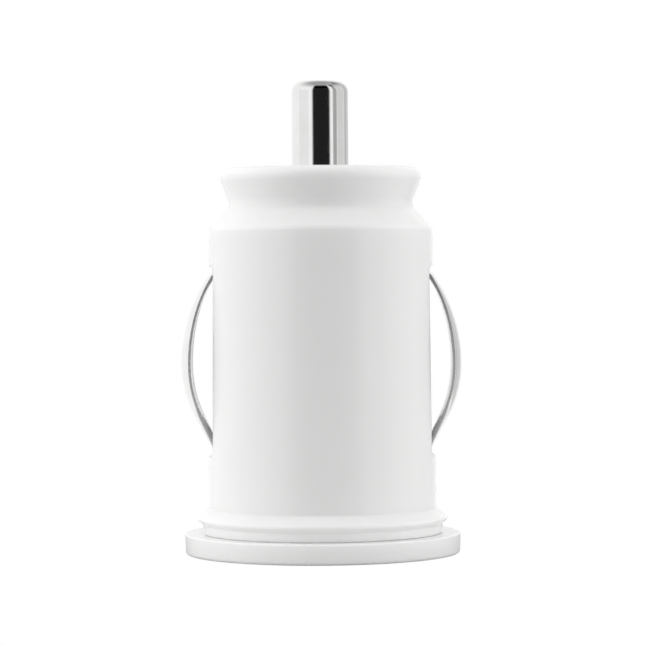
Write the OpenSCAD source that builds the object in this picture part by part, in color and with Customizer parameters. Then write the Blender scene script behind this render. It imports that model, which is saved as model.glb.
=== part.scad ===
// Short plug for a 12 V car socket with a USB charging port in its foot.
// Millimetres. Z = 0 is the outer face of the end cap, +Z points at the centre contact,
// and the two sprung side contacts lie on +X and -X.

/* [End cap] */
// How far the disc, which stays outside the socket, reaches past the collar
disc_rim = 2.2; // [1.6:0.05:3.6]
// Thickness of the disc
disc_t = 1.85; // [1.5:0.05:2.6]
// Rounding of the disc's outer edge
disc_edge_r = 0.28; // [0.1:0.02:0.5]
// Height of the sleeve that plugs into the barrel, above the disc
sleeve_h = 3.9; // [3.4:0.1:4.3]
// Wall of that sleeve
sleeve_wall = 1; // [0.8:0.05:1.1]
// Height of the snap ridge round the sleeve
snap_h = 0.7; // [0.5:0.05:0.9]
// How far the snap ridge stands out of the sleeve
snap_out = 0.2; // [0.1:0.02:0.24]

/* [Foot of the barrel] */
// How far the skirt that sits on the disc stands out of the collar
skirt_out = 0.57; // [0.4:0.01:0.8]
// Height of the skirt
skirt_h = 0.82; // [0.5:0.02:1.2]
// How far the bead stands out of the collar
bead_out = 1.03; // [0.9:0.01:1.3]
// Height of the bead, skirt to collar
bead_h = 1.5; // [1.2:0.05:1.9]

/* [Barrel] */
// Diameter of the straight collar that guides the plug in the socket
collar_d = 20.6; // [20.3:0.05:20.9]
// Height of the collar, from the bead to the side windows
collar_h = 4.65; // [4:0.05:5.6]
// Draft of the mould, from the collar's radius to the shoulder's
draft = 0.18; // [0.05:0.01:0.3]
// Height of the plain band from the side windows to the shoulder
band_h = 3.5; // [3:0.05:4.4]
// Wall thickness of the barrel
wall = 1.1; // [1:0.05:1.2]
// Height of the side windows
window_h = 17.2; // [16.4:0.1:19]
// Width of the side windows
window_w = 5.9; // [5.6:0.05:6.4]
// Corner radius of the side windows
window_r = 0.8; // [0.4:0.05:1.4]

/* [Neck and lip] */
// How far the neck lies inside the shoulder
neck_in = 1.74; // [1.4:0.02:2.1]
// Height of the slope from the shoulder up to the neck
slope_h = 1.8; // [1.4:0.05:2.4]
// Height of the neck
neck_h = 0.65; // [0.5:0.05:1]
// Height of the flare from the neck up to the lip
flare_h = 1.95; // [1.6:0.05:2.4]
// How far the lip stands out of the neck
lip_out = 0.72; // [0.5:0.02:1]
// Height of the lip
lip_h = 1.04; // [1:0.02:1.4]
// Rounding of the lip's upper edge
lip_r = 0.82; // [0.5:0.02:0.85]
// Thickness of the end wall round the centre contact
end_wall = 1.9; // [1.4:0.05:2.4]

/* [Centre contact] */
// Diameter of the contact pin
tip_d = 5.16; // [4.8:0.02:5.4]
// How far the pin stands out of the end wall
tip_out = 7.85; // [6:0.05:9]
// Rounding of the pin's nose
tip_r = 1.05; // [0.5:0.05:1.6]
// How far the pin can be pushed in
tip_travel = 2.8; // [2:0.1:3.2]
// How far the flange that keeps the pin in stands out of it
tip_flange_out = 0.82; // [0.6:0.02:1]
// Thickness of that flange
tip_flange_t = 0.8; // [0.6:0.05:1]
// Wall of the pin round the spring's hole
tip_wall = 0.58; // [0.48:0.02:0.7]
// Depth of that hole
tip_hole_h = 5.5; // [4.5:0.1:6.5]
// Radial clearance of the pin in the end wall
tip_gap = 0.06; // [0.04:0.01:0.1]
// Wall of the guide tube round the flange
guide_wall = 1; // [0.8:0.05:1.2]

/* [Centre spring] */
// Wire diameter
wire_d = 0.4; // [0.3:0.02:0.5]
// Radial clearance of the coil in the pin's hole
coil_gap = 0.2; // [0.1:0.02:0.3]
// Number of turns
coil_turns = 8; // [6:1:9]
// Thickness of the sheet-metal seat under the spring
seat_t = 0.4; // [0.3:0.05:0.5]
// How far the seat reaches past the coil on each side
seat_rim = 0.4; // [0.2:0.05:0.6]
// Height of the seat's leg on the board
seat_leg_h = 3.6; // [2.8:0.1:4]

/* [Side contacts] */
// How far the crown of each bow stands out of the collar
bow_out = 2.43; // [2:0.01:2.8]
// How far each bow can be pressed in
bow_travel = 2.25; // [1.6:0.05:2.3]
// Height of the crown, as a share of the window's height
bow_peak = 0.485; // [0.4:0.005:0.6]
// Roundness below the crown: at 1 the bow is one arc there, and less has a straight foot
bow_round = 0.84; // [0.7:0.01:1]
// Thickness of the spring strip
strip_t = 0.2; // [0.16:0.02:0.3]
// Radius of the strip's arch across its width, at the crown of the bow
strip_arch_r = 6; // [5.8:0.1:12]
// Clearance of the strip in the window, at each side of the crown
strip_gap = 0.35; // [0.2:0.05:0.6]
// Width of the strip at its ends
strip_end_w = 3; // [2.4:0.05:3.3]
// Length of each end that hooks behind the barrel's wall
strip_hook_h = 2; // [1.5:0.05:2.2]

/* [USB receptacle] */
// Width over the metal shell
usb_w = 13.1; // [13:0.05:13.3]
// Height over the metal shell
usb_h = 5.72; // [5.7:0.02:5.9]
// Length of the shell
usb_len = 13.6; // [13:0.1:14.6]
// Sheet thickness of the shell
usb_sheet = 0.3; // [0.25:0.01:0.35]
// How far the mouth lies behind the cap's face
usb_recess = 0.4; // [0.2:0.05:0.6]
// Distance from the tongue's sides to the shell
tongue_gap = 0.7; // [0.5:0.05:0.8]
// Thickness of the tongue
tongue_t = 1.84; // [1.7:0.02:1.9]
// Distance from the mouth to the tongue
tongue_set = 1.1; // [0.8:0.05:1.6]
// Distance from the tongue's sides to the middle of the outer contacts
pad_edge = 2.05; // [1.8:0.05:2.3]
// Distance between the two inner contacts
pad_pitch = 2; // [1.6:0.1:2.2]
// Width of each contact
pad_w = 1; // [0.8:0.05:1.1]
// Thickness of each contact
pad_t = 0.3; // [0.2:0.02:0.34]

/* [Circuit board] */
// How far the board reaches past the receptacle on each side
board_rim = 0.35; // [0.2:0.05:0.5]
// Thickness of the board
board_t = 1.2; // [1:0.05:1.3]

/* [Parts on the board] */
// Diameter of the input capacitor
can_d = 5; // [4:0.1:5.2]
// Room above the input capacitor, below the spring's seat
can_room = 1.4; // [0.6:0.1:2.4]
// Gap between the input capacitor and the inductor's drum
drum_gap = 1.5; // [1:0.1:2.5]
// Height of the inductor's drum
drum_h = 4.3; // [3:0.1:4.6]
// Width of the converter chip's body
chip_w = 3.9; // [3.6:0.05:4]
// Length of the converter chip's body
chip_l = 4.9; // [4.7:0.05:5]
// Height of the converter chip's body
chip_h = 1.45; // [1.2:0.05:1.7]
// Diameter of the indicator LED
led_d = 3; // [2.8:0.05:3.1]

/* [Hidden] */

$fn = 96;
arc_step = 9;           // degrees of a fillet that one facet spans
eps = 0.01;             // overshoot of a cutting tool
snug = 0.05;            // gap between pieces that are pushed together
slip = 0.1;             // gap round a piece that slides or drops in
solder = 0.03;          // gap under a part that is soldered down
white = [0.93, 0.93, 0.93];
nickel = [0.8, 0.8, 0.8];

// Radii and heights of the outer body
collar_r = collar_d / 2;
disc_r = collar_r + disc_rim;
skirt_r = collar_r + skirt_out;
bead_r = collar_r + bead_out;
shoulder_r = collar_r - draft;
neck_r = shoulder_r - neck_in;
lip_body_r = neck_r + lip_out;
bead_lo_z = disc_t + skirt_h;
bead_hi_z = bead_lo_z + bead_h;
window_lo_z = bead_hi_z + collar_h;
window_hi_z = window_lo_z + window_h;
shoulder_z = window_hi_z + band_h;
neck_lo_z = shoulder_z + slope_h;
neck_hi_z = neck_lo_z + neck_h;
lip_lo_z = neck_hi_z + flare_h;
top_z = lip_lo_z + lip_h;
end_wall_z = top_z - end_wall;
ridge_z = disc_t + sleeve_h * 0.55;

// Radii of the bore, which follows the outside at one wall's distance
bore_r = collar_r - wall;
bore_top_r = shoulder_r - wall;
neck_bore_r = neck_r - wall;
slope_angle = atan(neck_in / slope_h);
bore_shift = wall * tan(slope_angle / 2);

// Centre contact, from the end wall down to the spring's seat
tip_flange_r = tip_d / 2 + tip_flange_out;
tip_hole_r = tip_d / 2 - tip_wall;
coil_r = tip_hole_r - coil_gap;
flange_hi_z = end_wall_z - snug;
flange_lo_z = flange_hi_z - tip_flange_t;
tip_top_z = top_z + tip_out;
tip_hole_z = flange_lo_z + tip_hole_h;
guide_r = tip_flange_r + slip;
guide_lo_z = flange_lo_z - tip_travel - 0.3;
seat_z = guide_lo_z - 0.5;
seat_w = 2 * (coil_r + seat_rim);

// Side contacts
pocket_depth = 0.4;
pocket_r = bore_r + pocket_depth;
pocket_top_r = bore_top_r + pocket_depth;
hook_r = pocket_r - snug;
hook_top_r = pocket_top_r - snug;
bow_reach = collar_r + bow_out;
strip_w = window_w - 2 * strip_gap;
bow_peak_z = window_lo_z + bow_peak * window_h;
hook_lo_z = window_lo_z - strip_hook_h - 0.5;
hook_hi_z = window_hi_z + strip_hook_h;
bow_foot = [collar_r - 0.3, window_lo_z + 0.75];
bow_head = [collar_r - 0.2, window_hi_z - 0.65];

// Receptacle and board
usb_hi_z = usb_recess + usb_len;
tongue_w = usb_w - 2 * usb_sheet - 2 * tongue_gap;
tongue_y = -usb_h / 2 + usb_sheet + tongue_gap + tongue_t;
block_lo_z = usb_hi_z - 4.6;
pad_lo_z = usb_recess + tongue_set + 0.9;
pad_leg_z = usb_hi_z - 1;
pad_x = [pad_edge - tongue_w / 2, -pad_pitch / 2, pad_pitch / 2, tongue_w / 2 - pad_edge];
shell_slot_w = 2.6;
shell_slot_h = 4.5;
shell_slot_hi_z = block_lo_z - 1.6;
shell_tab_w = 1.6;
shell_tab_z = shell_slot_hi_z - 0.4;
shell_tab_out = 0.6;
shell_slot_x = usb_w / 2 - 3.45;
board_w = usb_w + 2 * board_rim;
board_y = usb_h / 2 + 0.02;
back_y = board_y + board_t;
board_lo_z = disc_t + slip;
board_hi_z = seat_z - seat_t - snug;
finger_x = seat_w / 2 + 0.5;
finger_w = 0.7;
rail_w = 0.9;
rail_x = board_w / 2 - rail_w;

// Parts on the board's front, between the receptacle and the spring's seat
can_x = -board_w / 2 + can_d / 2 + 0.6;
drum_d = board_w - can_d - drum_gap - 1.3;
can_y = board_y - solder - can_d / 2;
can_lo_z = usb_hi_z + 1.6;
can_h = seat_z - seat_leg_h - can_room - can_lo_z;
can_lead_x = [can_x - 1, can_x + 1];
can_lead_r = 0.25;
can_lead_z = usb_hi_z + 0.9;
drum_x = board_w / 2 - drum_d / 2 - 0.7;
drum_z = can_lo_z + 0.6 + drum_d / 2;
drum_core_r = drum_d * 0.225;
drum_flange_t = 0.8;
small_size = [1.24, 1, 0.8];
small_z = drum_z + drum_d / 2 + 1.4;

// Parts on its back, in a left and a right column. The tall ones follow the room in the bore.
back_lo_z = can_lead_z + can_lead_r + 0.4;
back_hi_z = board_hi_z - 0.3;
back_room = sqrt(pow(bore_r, 2) - pow(rail_x - 0.95, 2)) - back_y;
leg_reach = 1.1;
chip_x = -(rail_x - 0.35 - leg_reach - chip_w / 2);
chip_z = back_lo_z + chip_l / 2;
output_size = [board_w / 2 - 3.7, 4.8, back_room * 0.66];
output_x = rail_x - 0.95 - output_size.x / 2;
output_z = back_lo_z + output_size.y / 2;
fuse_size = [output_size.x, 4.4, 0.9];
fuse_z = back_hi_z - fuse_size.y / 2;
diode_size = [output_size.x - 0.6, 4, output_size.z * 0.84];
diode_tab_t = 0.2;
diode_z = back_hi_z - diode_size.y / 2 - diode_tab_t;
resistor_size = [2, 1.24, 0.5];
resistor_x = [-board_w * 0.32, -board_w * 0.12, board_w * 0.12, board_w * 0.32];
resistor_z = pad_leg_z - 2.6;

// Indicator
led_y = back_y + led_d / 2 + 0.3;
led_rim = 0.22;
led_rim_h = 0.8;
led_hi_z = 5;
led_lead_x = [-led_d * 0.42, led_d * 0.42];
led_bend_z = led_hi_z + 1.2;
led_foot_z = resistor_z - resistor_size.y / 2 - 1;

// Points and arcs
function unit(v) = v / norm(v);
function turned(v, a) = [v.x * cos(a) - v.y * sin(a), v.x * sin(a) + v.y * cos(a)];
function turn_between(s, e) = atan2(s.x * e.y - s.y * e.x, s * e);

// One corner p between a and b, replaced by an arc of radius r
function corner(a, p, b, r) =
    r <= 0 ? [p] :
    let (
        u = unit(a - p),
        v = unit(b - p),
        half = acos(u * v) / 2,
        centre = p + unit(u + v) * r / sin(half),
        from = p + u * r / tan(half) - centre,
        to = p + v * r / tan(half) - centre,
        sweep = turn_between(from, to),
        steps = max(1, ceil(abs(sweep) / arc_step))
    )
    [for (i = [0:steps]) centre + turned(from, sweep * i / steps)];

// An outline whose points are [x, y, fillet radius]
function filleted(points) =
    let (n = len(points), at = [for (p = points) [p.x, p.y]])
    [for (i = [0:n - 1]) each corner(at[(i + n - 1) % n], at[i], at[(i + 1) % n], points[i].z)];

// A line of points set off to its right by d, mitred at each corner
function offset_line(line, d) =
    let (n = len(line))
    [for (i = [0:n - 1])
        let (
            before = unit(line[max(i, 1)] - line[max(i, 1) - 1]),
            after = unit(line[min(i, n - 2) + 1] - line[min(i, n - 2)]),
            mid = unit(before + after),
            side = [mid.y, -mid.x]
        )
        line[i] + side * d / (mid * after)];

module at_board_front(x, z) {
    translate([x, board_y, z]) rotate([90, 0, 0]) children();
}

module at_board_back(x, z) {
    translate([x, back_y, z]) rotate([-90, 0, 0]) children();
}

module ring(r_out, r_in, h) {
    difference() {
        cylinder(r = r_out, h = h);
        translate([0, 0, -eps]) cylinder(r = r_in, h = h + 2 * eps);
    }
}

module rounded_rect(w, h, r) {
    square([w - 2 * r, h], center = true);
    square([w, h - 2 * r], center = true);
    for (x = [-1, 1], y = [-1, 1])
        translate([x * (w / 2 - r), y * (h / 2 - r)]) circle(r = r, $fn = 48);
}

module both_sides() {
    children();
    mirror([1, 0, 0]) children();
}

// Barrel, neck and lip as one revolved wall, from the foot up the outside and down the inside
module housing_wall() {
    rotate_extrude()
        polygon(filleted([
            [bore_r, disc_t, 0.15],
            [skirt_r, disc_t, 0.16],
            [skirt_r, bead_lo_z, 0.1],
            [bead_r, bead_lo_z + bead_h * 0.28, 0.25],
            [bead_r, bead_lo_z + bead_h * 0.42, 0.25],
            [collar_r, bead_hi_z, 0.2],
            [collar_r, window_lo_z, 0],
            [shoulder_r, shoulder_z, 0.7],
            [neck_r, neck_lo_z, 0.6],
            [neck_r, neck_hi_z, 1],
            [lip_body_r, lip_lo_z, 0.8],
            [lip_body_r, top_z, lip_r],
            [tip_d / 2 + tip_gap + 0.2, top_z, 0],
            [tip_d / 2 + tip_gap, top_z - 0.2, 0],
            [tip_d / 2 + tip_gap, end_wall_z, 0],
            [neck_bore_r, end_wall_z, 0.4],
            [neck_bore_r, neck_lo_z - bore_shift, 0.3],
            [bore_top_r, shoulder_z - bore_shift, 0.3],
            [bore_r, window_lo_z, 0]
        ]));
}

// Tube inside the end wall that guides the pin's flange
module guide_tube() {
    translate([0, 0, guide_lo_z])
        ring(guide_r + guide_wall, guide_r, end_wall_z - guide_lo_z + eps);
}

// Two fingers that keep the board's upper end from tipping forward
module board_fingers() {
    finger_y = 0.8;
    difference() {
        for (x = [-finger_x - finger_w, finger_x])
            translate([x, board_y - snug - finger_y, board_hi_z - 0.85])
                cube([finger_w, finger_y, end_wall_z - board_hi_z + 0.85 + eps]);
        translate([0, 0, seat_z]) cylinder(r = guide_r, h = end_wall_z - seat_z + 2 * eps);
    }
}

// Angled ribs on the barrel's inside that hold the board's edges from behind
module board_rails() {
    rail_lo_z = shell_tab_z + shell_tab_w / 2 + 0.6;
    rail_h = board_hi_z - 0.4 - rail_lo_z;
    edge_x = board_w / 2 + slip;
    both_sides() intersection() {
        translate([0, 0, rail_lo_z]) cylinder(r = bore_r + 0.2, h = rail_h);
        union() {
            translate([rail_x, back_y + snug, rail_lo_z]) cube([rail_w, bore_r, rail_h]);
            translate([edge_x, max(board_y, window_w / 2 + 0.1), rail_lo_z])
                cube([rail_w, bore_r, rail_h]);
        }
    }
}

// Side window for one bow, with a shallow pocket behind the wall at each end for its hooks
module window_cut() {
    pocket_w = strip_end_w + 0.6;
    translate([bore_r - 1, 0, (window_lo_z + window_hi_z) / 2])
        rotate([90, 0, 90])
            linear_extrude(wall + 2) rounded_rect(window_w, window_h, window_r);
    translate([bore_r - 1, -pocket_w / 2, hook_lo_z - 0.2])
        cube([pocket_r - bore_r + 1, pocket_w, window_lo_z + window_r - hook_lo_z + 0.2]);
    translate([bore_r - 1, -pocket_w / 2, window_hi_z - window_r])
        cube([pocket_top_r - bore_r + 1, pocket_w, hook_hi_z + 0.2 - window_hi_z + window_r]);
}

// Room for the board, the receptacle's tabs and the LED, cut out of whatever they would touch
module inner_room() {
    tab_y = usb_h / 2 - 1;
    translate([-board_w / 2 - slip, board_y - snug, board_lo_z - slip])
        cube([board_w + 2 * slip, board_t + 2 * snug, board_hi_z - board_lo_z + 2 * slip]);
    both_sides()
        translate([usb_w / 2 - usb_sheet - slip, tab_y, shell_tab_z - shell_tab_w / 2 - slip])
            cube([usb_sheet + 2 * slip, back_y + shell_tab_out + slip - tab_y,
                shell_tab_w + 2 * slip]);
    translate([0, led_y, led_hi_z - led_rim_h - slip])
        cylinder(r = led_d / 2 + led_rim + slip, h = sleeve_h);
}

module housing() {
    color(white) difference() {
        union() {
            housing_wall();
            guide_tube();
            board_fingers();
            board_rails();
        }
        both_sides() window_cut();
        inner_room();
        translate([0, 0, ridge_z - snap_h / 2 - snug])
            ring(bore_r + snap_out + snug, bore_r - 1, snap_h + 2 * snug);
    }
}

// Disc, plug-in sleeve and snap ridge, before the port is cut
module cap_blank() {
    sleeve_r = bore_r - snug;
    rotate_extrude()
        polygon(filleted([
            [0, 0, 0],
            [disc_r - 0.05, 0, disc_edge_r],
            [disc_r, disc_t, 0.12],
            [sleeve_r, disc_t, 0],
            [sleeve_r, ridge_z - snap_h / 2, 0],
            [sleeve_r + snap_out, ridge_z - snap_h / 4, 0],
            [sleeve_r + snap_out, ridge_z + snap_h / 4, 0],
            [sleeve_r, ridge_z + snap_h / 2, 0],
            [sleeve_r, disc_t + sleeve_h - 0.3, 0],
            [sleeve_r - 0.3, disc_t + sleeve_h, 0],
            [sleeve_r - sleeve_wall, disc_t + sleeve_h, 0],
            [sleeve_r - sleeve_wall, disc_t, 0],
            [0, disc_t, 0]
        ]));
}

// Walls round the receptacle and stops behind the board's lower end
module cap_frame() {
    frame_t = 0.9;
    frame_h = sleeve_h - 0.2;
    frame_w = usb_w + 2 * slip + 2 * frame_t;
    front_y = -usb_h / 2 - slip - frame_t;
    translate([-frame_w / 2, front_y, disc_t - eps])
        cube([frame_w, board_y - snug - front_y, frame_h + eps]);
    both_sides()
        translate([board_w / 4, back_y + snug, disc_t - eps])
            cube([1.8, 1.3, frame_h - 0.4 + eps]);
}

module end_cap() {
    step = 0.3;
    color(white) difference() {
        union() {
            cap_blank();
            intersection() {
                cap_frame();
                cylinder(r = bore_r - snug - sleeve_wall / 2, h = disc_t + sleeve_h);
            }
        }
        translate([0, 0, -eps])
            linear_extrude(disc_t + sleeve_h + 1)
                rounded_rect(usb_w + 2 * slip, usb_h + 2 * slip, 0.7);
        translate([0, 0, -eps])
            linear_extrude(step + eps)
                rounded_rect(usb_w + 2 * slip + 2 * step, usb_h + 2 * slip + 2 * step, 0.9);
        inner_room();
        translate([0, led_y, -eps]) cylinder(d = led_d + 2 * slip, h = disc_t + sleeve_h + 1);
    }
}

// Turned pin with a retaining flange and a blind hole for its spring
module tip_pin() {
    color(nickel) rotate_extrude()
        polygon(filleted([
            [0, tip_hole_z, 0],
            [tip_hole_r, tip_hole_z, 0.3],
            [tip_hole_r, flange_lo_z, 0],
            [tip_flange_r, flange_lo_z, 0.1],
            [tip_flange_r, flange_hi_z, 0.1],
            [tip_d / 2, flange_hi_z, 0],
            [tip_d / 2, tip_top_z, tip_r],
            [0, tip_top_z, 0]
        ]));
}

// Round wire swept along a helix, with its end turns closed
module tip_spring() {
    sides = 6;
    steps = 18;
    line_r = coil_r - wire_d / 2;
    lo = seat_z + wire_d / 2 + snug;
    hi = tip_hole_z - wire_d / 2 - snug;
    closed = 0.75;
    lead = (hi - lo - 2 * closed * wire_d * 1.1) / (coil_turns - 2 * closed);
    rings = coil_turns * steps;
    function height(t) =
        t < closed ? lo + t * wire_d * 1.1 :
        t > coil_turns - closed ? hi - (coil_turns - t) * wire_d * 1.1 :
        lo + closed * wire_d * 1.1 + (t - closed) * lead;
    points = [
        for (i = [0:rings], k = [0:sides - 1])
            let (t = i / steps, a = 360 * k / sides, r = line_r + wire_d / 2 * cos(a))
            [r * cos(360 * t), r * sin(360 * t), height(t) + wire_d / 2 * sin(a)]
    ];
    faces = concat(
        [[for (k = [0:sides - 1]) k]],
        [for (i = [0:rings - 1], k = [0:sides - 1])
            let (a = i * sides + k, b = i * sides + (k + 1) % sides)
            [b, a, a + sides]],
        [for (i = [0:rings - 1], k = [0:sides - 1])
            let (a = i * sides + k, b = i * sides + (k + 1) % sides)
            [b, a + sides, b + sides]],
        [[for (k = [sides - 1:-1:0]) rings * sides + k]]
    );
    color([0.7, 0.7, 0.72]) polyhedron(points, faces, convexity = 20);
}

// Bent sheet: a leg on the board, a shelf under the spring and a boss inside it
module spring_seat() {
    shelf_y = coil_r + seat_rim;
    color([0.85, 0.7, 0.4]) {
        translate([-seat_w / 2, -shelf_y, seat_z - seat_t])
            cube([seat_w, shelf_y + board_y - solder, seat_t]);
        translate([-seat_w / 2, board_y - solder - seat_t, seat_z - seat_leg_h])
            cube([seat_w, seat_t, seat_leg_h]);
        translate([0, 0, seat_z - seat_t])
            cylinder(r = coil_r - wire_d - 0.2, h = seat_t + 0.6);
    }
}

// Outer face of one bow in section, from its lower hook over the crown to its upper hook
function bow_line() =
    let (
        head = bow_head,
        rise = head.y - bow_peak_z,
        fall = bow_reach - head.x,
        high_r = (rise * rise + fall * fall) / (2 * fall),
        high_a = asin(rise / high_r),
        foot = bow_foot,
        drop = bow_peak_z - foot.y,
        sink = bow_reach - foot.x,
        low_r = bow_round * (drop * drop + sink * sink) / (2 * sink),
        low_a = bow_low_angle(drop, sink, low_r),
        steps = 8
    )
    concat(
        [[hook_r, hook_lo_z], [hook_r, window_lo_z + 0.1], foot],
        [for (i = [0:steps])
            let (a = -low_a * (1 - i / steps))
            [bow_reach - low_r * (1 - cos(a)), bow_peak_z + low_r * sin(a)]],
        [for (i = [1:steps])
            let (a = high_a * i / steps)
            [bow_reach - high_r * (1 - cos(a)), bow_peak_z + high_r * sin(a)]],
        [[hook_top_r, window_hi_z - 0.1], [hook_top_r, hook_hi_z]]
    );

// Angle at which the arc below the crown runs out into the straight that meets the foot
function bow_low_angle(drop, sink, r) =
    let (to_centre = norm([drop, r - sink]), lean = atan2(r - sink, drop))
    asin(min(1, r / to_centre)) - lean;

// Outline of the strip seen from the side: widest at the crown, narrow at the hooks
module strip_outline() {
    taper = (strip_w - strip_end_w) / 2;
    bulge_r = (pow(window_h / 2, 2) + taper * taper) / (2 * taper);
    translate([0, bow_peak_z]) intersection_for (s = [-1, 1])
        translate([s * (bulge_r - strip_w / 2), 0]) circle(r = bulge_r, $fn = 180);
    translate([-strip_end_w / 2, hook_lo_z]) square([strip_end_w, hook_hi_z - hook_lo_z]);
}

// Bowed spring strip, arched across its width about a line between the axis and the crown.
// A lug at its upper end wipes on the board's ground pad.
module side_contact() {
    outer = bow_line();
    inner = offset_line(outer, -strip_t);
    section = concat(outer, [for (i = [len(inner) - 1:-1:0]) inner[i]]);
    arch_x = bow_reach - strip_arch_r;
    reach = 100;
    lug_x = finger_x + finger_w + slip + bow_travel;
    color(nickel) {
        intersection() {
            translate([arch_x, 0, 0]) rotate([0, 0, -reach / 2])
                rotate_extrude(angle = reach)
                    polygon([for (p = section) [p.x - arch_x, p.y]]);
            rotate([90, 0, 90]) linear_extrude(2 * bow_reach) strip_outline();
        }
        intersection() {
            translate([lug_x, -strip_end_w / 2, hook_hi_z - strip_t])
                cube([hook_top_r - lug_x, strip_end_w, strip_t]);
            translate([arch_x, 0, hook_hi_z - 2 * strip_t])
                cylinder(r = hook_top_r - arch_x - strip_t / 2, h = 3 * strip_t);
        }
        translate([lug_x, 0, hook_hi_z - strip_t])
            cube([0.8, board_y - solder, strip_t]);
    }
}

module left_contact() {
    mirror([1, 0, 0]) side_contact();
}

module right_contact() {
    side_contact();
}

module circuit_board() {
    color([0.1, 0.35, 0.18]) difference() {
        translate([-board_w / 2, board_y, board_lo_z])
            cube([board_w, board_t, board_hi_z - board_lo_z]);
        for (x = pad_x)
            translate([x, board_y - eps, pad_leg_z]) rotate([-90, 0, 0])
                cylinder(r = 0.45, h = board_t + 2 * eps);
        for (x = can_lead_x)
            translate([x, board_y - eps, can_lead_z]) rotate([-90, 0, 0])
                cylinder(r = can_lead_r + slip, h = board_t + 2 * eps);
        both_sides()
            translate([usb_w / 2 - usb_sheet - slip, board_y - eps,
                    shell_tab_z - shell_tab_w / 2 - slip])
                cube([usb_sheet + 2 * slip, board_t + 2 * eps, shell_tab_w + 2 * slip]);
    }
}

// One sprung tongue pressed inwards out of a wide face of the shell, in section
module shell_tongue() {
    translate([-1, 0, 0]) rotate([90, 0, 90])
        linear_extrude(2)
            polygon([
                [usb_h / 2, 0], [usb_h / 2 - usb_sheet, 0],
                [usb_h / 2 - usb_sheet - 0.42, -3.3], [usb_h / 2 - usb_sheet - 0.2, -4.1],
                [usb_h / 2 - 0.2, -4.1], [usb_h / 2 - 0.42, -3.3]
            ]);
}

module usb_shell() {
    inner_w = usb_w - 2 * usb_sheet;
    inner_h = usb_h - 2 * usb_sheet;
    color(nickel) {
        difference() {
            translate([0, 0, usb_recess])
                linear_extrude(usb_len) rounded_rect(usb_w, usb_h, 0.6);
            translate([0, 0, usb_recess - eps])
                linear_extrude(usb_len - usb_sheet + eps) rounded_rect(inner_w, inner_h, 0.3);
            for (x = [-shell_slot_x, shell_slot_x])
                translate([x - shell_slot_w / 2, -usb_h, shell_slot_hi_z - shell_slot_h])
                    cube([shell_slot_w, 2 * usb_h, shell_slot_h]);
            translate([-inner_w / 2 + 0.6, usb_h / 2 - usb_sheet - eps, pad_leg_z - 0.6])
                cube([inner_w - 1.2, 1, 1.2]);
        }
        for (x = [-shell_slot_x, shell_slot_x], side = [0, 1])
            mirror([0, side, 0]) translate([x, 0, shell_slot_hi_z + eps]) shell_tongue();
        both_sides()
            translate([usb_w / 2 - usb_sheet, usb_h / 2 - 1, shell_tab_z - shell_tab_w / 2])
                cube([usb_sheet, back_y + shell_tab_out - usb_h / 2 + 1, shell_tab_w]);
    }
}

// The path of one contact in the receptacle, seen from its side
module contact_side(gap) {
    face = tongue_y + 0.1;
    crest = face + 0.35;
    root = tongue_y - pad_t + 0.1;
    polygon([
        [root - gap, pad_lo_z - gap],
        [face, pad_lo_z - gap],
        [crest, pad_lo_z + 1],
        [crest, pad_lo_z + 1.7],
        [face + gap, pad_lo_z + 3.4],
        [face + gap, pad_leg_z - pad_t / 2 - gap],
        [face + gap, pad_leg_z + pad_t / 2 + gap],
        [root - gap, pad_leg_z + pad_t / 2 + gap]
    ]);
}

module usb_contact(i) {
    color([0.85, 0.7, 0.35]) {
        translate([pad_x[i] - pad_w / 2, 0, 0]) rotate([90, 0, 90])
            linear_extrude(pad_w) contact_side(0);
        translate([pad_x[i] - 0.3, tongue_y - 0.1, pad_leg_z - pad_t / 2])
            cube([0.6, back_y + 0.5 - tongue_y + 0.1, pad_t]);
    }
}

module usb_insulator() {
    inner_w = usb_w - 2 * usb_sheet - 2 * snug;
    inner_h = usb_h - 2 * usb_sheet - 2 * snug;
    tongue_lo_z = usb_recess + tongue_set;
    color([0.9, 0.9, 0.88]) difference() {
        union() {
            translate([0, 0, block_lo_z])
                linear_extrude(usb_hi_z - usb_sheet - snug - block_lo_z)
                    rounded_rect(inner_w, inner_h, 0.3);
            translate([-tongue_w / 2, tongue_y - tongue_t, tongue_lo_z])
                cube([tongue_w, tongue_t, block_lo_z - tongue_lo_z + eps]);
        }
        for (x = pad_x) {
            translate([x - pad_w / 2 - snug, 0, 0]) rotate([90, 0, 90])
                linear_extrude(pad_w + 2 * snug) contact_side(snug);
            translate([x - 0.3 - snug, tongue_y, pad_leg_z - pad_t / 2 - snug])
                cube([0.6 + 2 * snug, inner_h, pad_t + 2 * snug]);
        }
    }
}

module chip_body(size) {
    translate([-size.x / 2, -size.y / 2, solder]) cube(size);
}

module converter_chip() {
    color([0.12, 0.12, 0.13]) at_board_back(chip_x, chip_z)
        translate([-chip_w / 2, -chip_l / 2, 0.15]) cube([chip_w, chip_l, chip_h]);
}

// Eight gull-wing legs
module converter_chip_leads() {
    pitch = 1.27;
    leg_w = 0.42;
    leg_t = 0.2;
    knee = 0.15 + chip_h / 2;
    color(nickel) at_board_back(chip_x, chip_z)
        for (side = [0, 1], i = [-1.5:1:1.5])
            mirror([side, 0, 0])
                translate([chip_w / 2 + 0.01, i * pitch + leg_w / 2, solder]) rotate([90, 0, 0])
                    linear_extrude(leg_w)
                        polygon([
                            [0, knee], [0, knee + leg_t], [0.4, knee + leg_t], [0.6, leg_t],
                            [leg_reach, leg_t], [leg_reach, 0], [0.45, 0], [0.25, knee]
                        ]);
}

module inductor_core() {
    color([0.22, 0.22, 0.23]) at_board_front(drum_x, drum_z)
        translate([0, 0, solder]) {
            cylinder(d = drum_d, h = drum_flange_t);
            cylinder(r = drum_core_r, h = drum_h);
            translate([0, 0, drum_h - drum_flange_t]) cylinder(d = drum_d, h = drum_flange_t);
        }
}

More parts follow.
